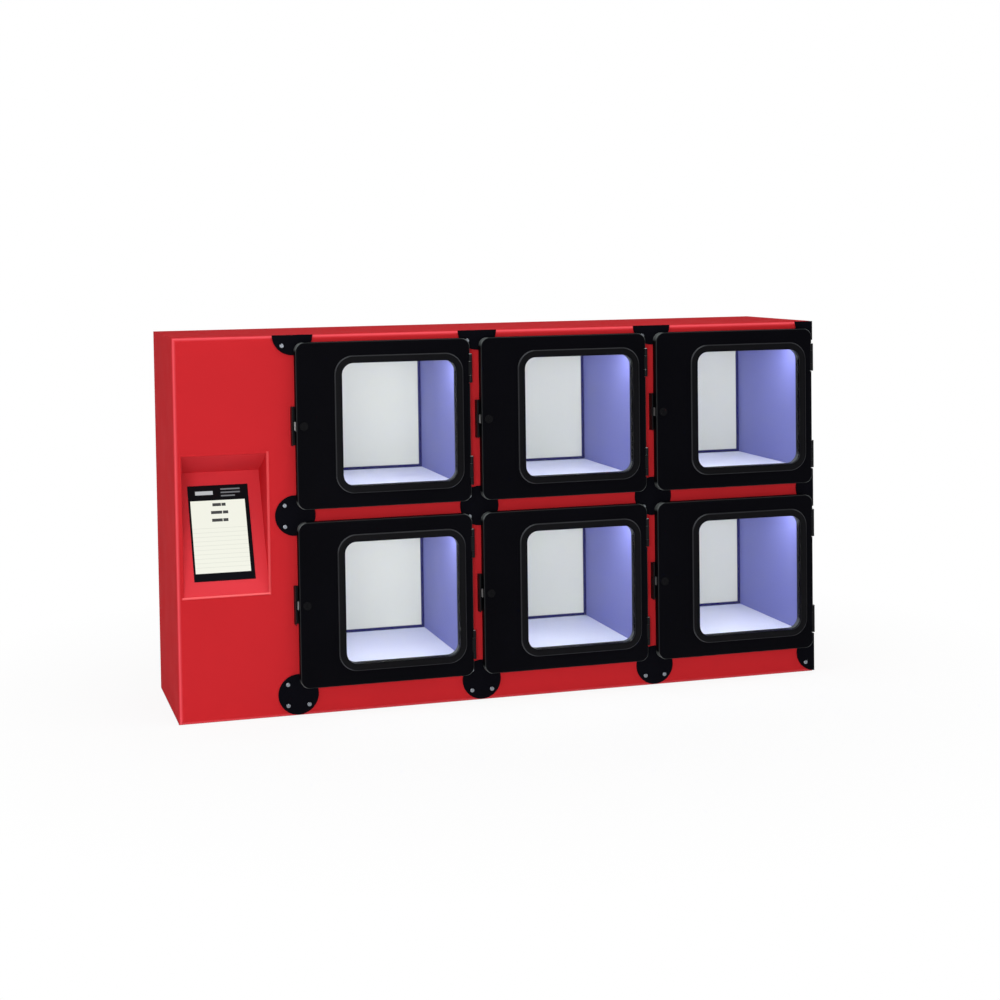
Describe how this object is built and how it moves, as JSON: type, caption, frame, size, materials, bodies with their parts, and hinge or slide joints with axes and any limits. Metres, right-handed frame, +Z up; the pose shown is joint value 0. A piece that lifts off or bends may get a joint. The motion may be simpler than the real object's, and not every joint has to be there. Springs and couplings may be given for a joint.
{
  "type": "food pickup locker",
  "caption": "Countertop food pickup locker: sheet-metal cabinet with hinged glass-fronted doors, key locks, lit compartments and a tilted touch screen.",
  "frame": {"origin": "centre of the footprint, on the surface it stands on", "axes": "+Z up, -Y the front with the doors, +X towards the last column of doors"},
  "size_m": [1.55, 0.411, 0.864],
  "materials": {
    "red_paint": "gloss powder coat",
    "galvanised": "galvanised",
    "black_plastic": "matte",
    "display_housing": "satin",
    "screen_glass": "gloss display",
    "liner_tint": "satin, tinted by the compartment lights",
    "liner_white": "satin white",
    "dark_seal": "matte",
    "light_aluminium": "satin",
    "light_lens": "frosted, lit",
    "door_rubber": "matte",
    "black_plate": "satin black",
    "bright_screw": "bright zinc",
    "black_hinge": "satin black",
    "hinge_steel": "bright",
    "keeper_steel": "satin black",
    "black_frame": "satin black",
    "door_glass": "clear",
    "black_trim": "semi-gloss black",
    "lock_black": "satin black",
    "bolt_steel": "bright"
  },
  "bodies": {
    "cabinet": {"front_fascia": "red_paint", "left_side_panel": "red_paint", "right_side_panel": "red_paint", "top_cover": "red_paint", "base_pan": "galvanised", "rear_panel": "red_paint", "power_inlet": "black_plastic", "kiosk_pocket": "red_paint", "display_module": "display_housing", "display_screen": "screen_glass", "control_box": "galvanised", "liner_walls": "liner_tint", "compartment_floors": "liner_tint", "compartment_ceilings": "liner_tint", "rear_liners": "liner_white", "rear_edge_seals": "dark_seal", "light_channels": "light_aluminium", "light_lenses": "light_lens", "door_seals": "door_rubber", "corner_plates": "black_plate", "plate_screws": "bright_screw", "hinge_brackets": "black_hinge", "hinge_pins": "hinge_steel", "latch_keepers": "keeper_steel"},
    "door_1": {"door_frame_1": "black_frame", "door_glass_1": "door_glass", "window_trim_1": "black_trim", "door_leaves_1": "black_hinge"},
    "plug_1": {"lock_plug_1": "lock_black"},
    "bolt_1": {"lock_bolt_1": "bolt_steel"},
    "door_2": {"door_frame_2": "black_frame", "door_glass_2": "door_glass", "window_trim_2": "black_trim", "door_leaves_2": "black_hinge"},
    "plug_2": {"lock_plug_2": "lock_black"},
    "bolt_2": {"lock_bolt_2": "bolt_steel"},
    "door_3": {"door_frame_3": "black_frame", "door_glass_3": "door_glass", "window_trim_3": "black_trim", "door_leaves_3": "black_hinge"},
    "plug_3": {"lock_plug_3": "lock_black"},
    "bolt_3": {"lock_bolt_3": "bolt_steel"},
    "door_4": {"door_frame_4": "black_frame", "door_glass_4": "door_glass", "window_trim_4": "black_trim", "door_leaves_4": "black_hinge"},
    "plug_4": {"lock_plug_4": "lock_black"},
    "bolt_4": {"lock_bolt_4": "bolt_steel"},
    "door_5": {"door_frame_5": "black_frame", "door_glass_5": "door_glass", "window_trim_5": "black_trim", "door_leaves_5": "black_hinge"},
    "plug_5": {"lock_plug_5": "lock_black"},
    "bolt_5": {"lock_bolt_5": "bolt_steel"},
    "door_6": {"door_frame_6": "black_frame", "door_glass_6": "door_glass", "window_trim_6": "black_trim", "door_leaves_6": "black_hinge"},
    "plug_6": {"lock_plug_6": "lock_black"},
    "bolt_6": {"lock_bolt_6": "bolt_steel"}
  },
  "joints": [
    {"name": "door_1_swing", "type": "hinge", "parent": "cabinet", "child": "door_1", "pos_m": [-0.098, -0.1945, 0.254], "axis": [0, 0, 1], "range_deg": [0, 110]},
    {"name": "plug_1_turn", "type": "hinge", "parent": "door_1", "child": "plug_1", "pos_m": [-0.488, -0.2025, 0.254], "axis": [0, -1, 0], "range_deg": [0, 90]},
    {"name": "bolt_1_throw", "type": "slide", "parent": "door_1", "child": "bolt_1", "axis": [-1, 0, 0], "range_m": [0, 0.008]},
    {"name": "door_2_swing", "type": "hinge", "parent": "cabinet", "child": "door_2", "pos_m": [0.333, -0.1945, 0.254], "axis": [0, 0, 1], "range_deg": [0, 110]},
    {"name": "plug_2_turn", "type": "hinge", "parent": "door_2", "child": "plug_2", "pos_m": [-0.057, -0.2025, 0.254], "axis": [0, -1, 0], "range_deg": [0, 90]},
    {"name": "bolt_2_throw", "type": "slide", "parent": "door_2", "child": "bolt_2", "axis": [-1, 0, 0], "range_m": [0, 0.008]},
    {"name": "door_3_swing", "type": "hinge", "parent": "cabinet", "child": "door_3", "pos_m": [0.764, -0.1945, 0.254], "axis": [0, 0, 1], "range_deg": [0, 110]},
    {"name": "plug_3_turn", "type": "hinge", "parent": "door_3", "child": "plug_3", "pos_m": [0.374, -0.2025, 0.254], "axis": [0, -1, 0], "range_deg": [0, 90]},
    {"name": "bolt_3_throw", "type": "slide", "parent": "door_3", "child": "bolt_3", "axis": [-1, 0, 0], "range_m": [0, 0.008]},
    {"name": "door_4_swing", "type": "hinge", "parent": "cabinet", "child": "door_4", "pos_m": [-0.098, -0.1945, 0.659], "axis": [0, 0, 1], "range_deg": [0, 110]},
    {"name": "plug_4_turn", "type": "hinge", "parent": "door_4", "child": "plug_4", "pos_m": [-0.488, -0.2025, 0.659], "axis": [0, -1, 0], "range_deg": [0, 90]},
    {"name": "bolt_4_throw", "type": "slide", "parent": "door_4", "child": "bolt_4", "axis": [-1, 0, 0], "range_m": [0, 0.008]},
    {"name": "door_5_swing", "type": "hinge", "parent": "cabinet", "child": "door_5", "pos_m": [0.333, -0.1945, 0.659], "axis": [0, 0, 1], "range_deg": [0, 110]},
    {"name": "plug_5_turn", "type": "hinge", "parent": "door_5", "child": "plug_5", "pos_m": [-0.057, -0.2025, 0.659], "axis": [0, -1, 0], "range_deg": [0, 90]},
    {"name": "bolt_5_throw", "type": "slide", "parent": "door_5", "child": "bolt_5", "axis": [-1, 0, 0], "range_m": [0, 0.008]},
    {"name": "door_6_swing", "type": "hinge", "parent": "cabinet", "child": "door_6", "pos_m": [0.764, -0.1945, 0.659], "axis": [0, 0, 1], "range_deg": [0, 110]},
    {"name": "plug_6_turn", "type": "hinge", "parent": "door_6", "child": "plug_6", "pos_m": [0.374, -0.2025, 0.659], "axis": [0, -1, 0], "range_deg": [0, 90]},
    {"name": "bolt_6_throw", "type": "slide", "parent": "door_6", "child": "bolt_6", "axis": [-1, 0, 0], "range_m": [0, 0.008]}
  ],
  "couplings": [
    {"joint": "plug_1_turn", "follows": "bolt_1_throw", "rad_per_m": 196.35},
    {"joint": "plug_2_turn", "follows": "bolt_2_throw", "rad_per_m": 196.35},
    {"joint": "plug_3_turn", "follows": "bolt_3_throw", "rad_per_m": 196.35},
    {"joint": "plug_4_turn", "follows": "bolt_4_throw", "rad_per_m": 196.35},
    {"joint": "plug_5_turn", "follows": "bolt_5_throw", "rad_per_m": 196.35},
    {"joint": "plug_6_turn", "follows": "bolt_6_throw", "rad_per_m": 196.35}
  ]
}
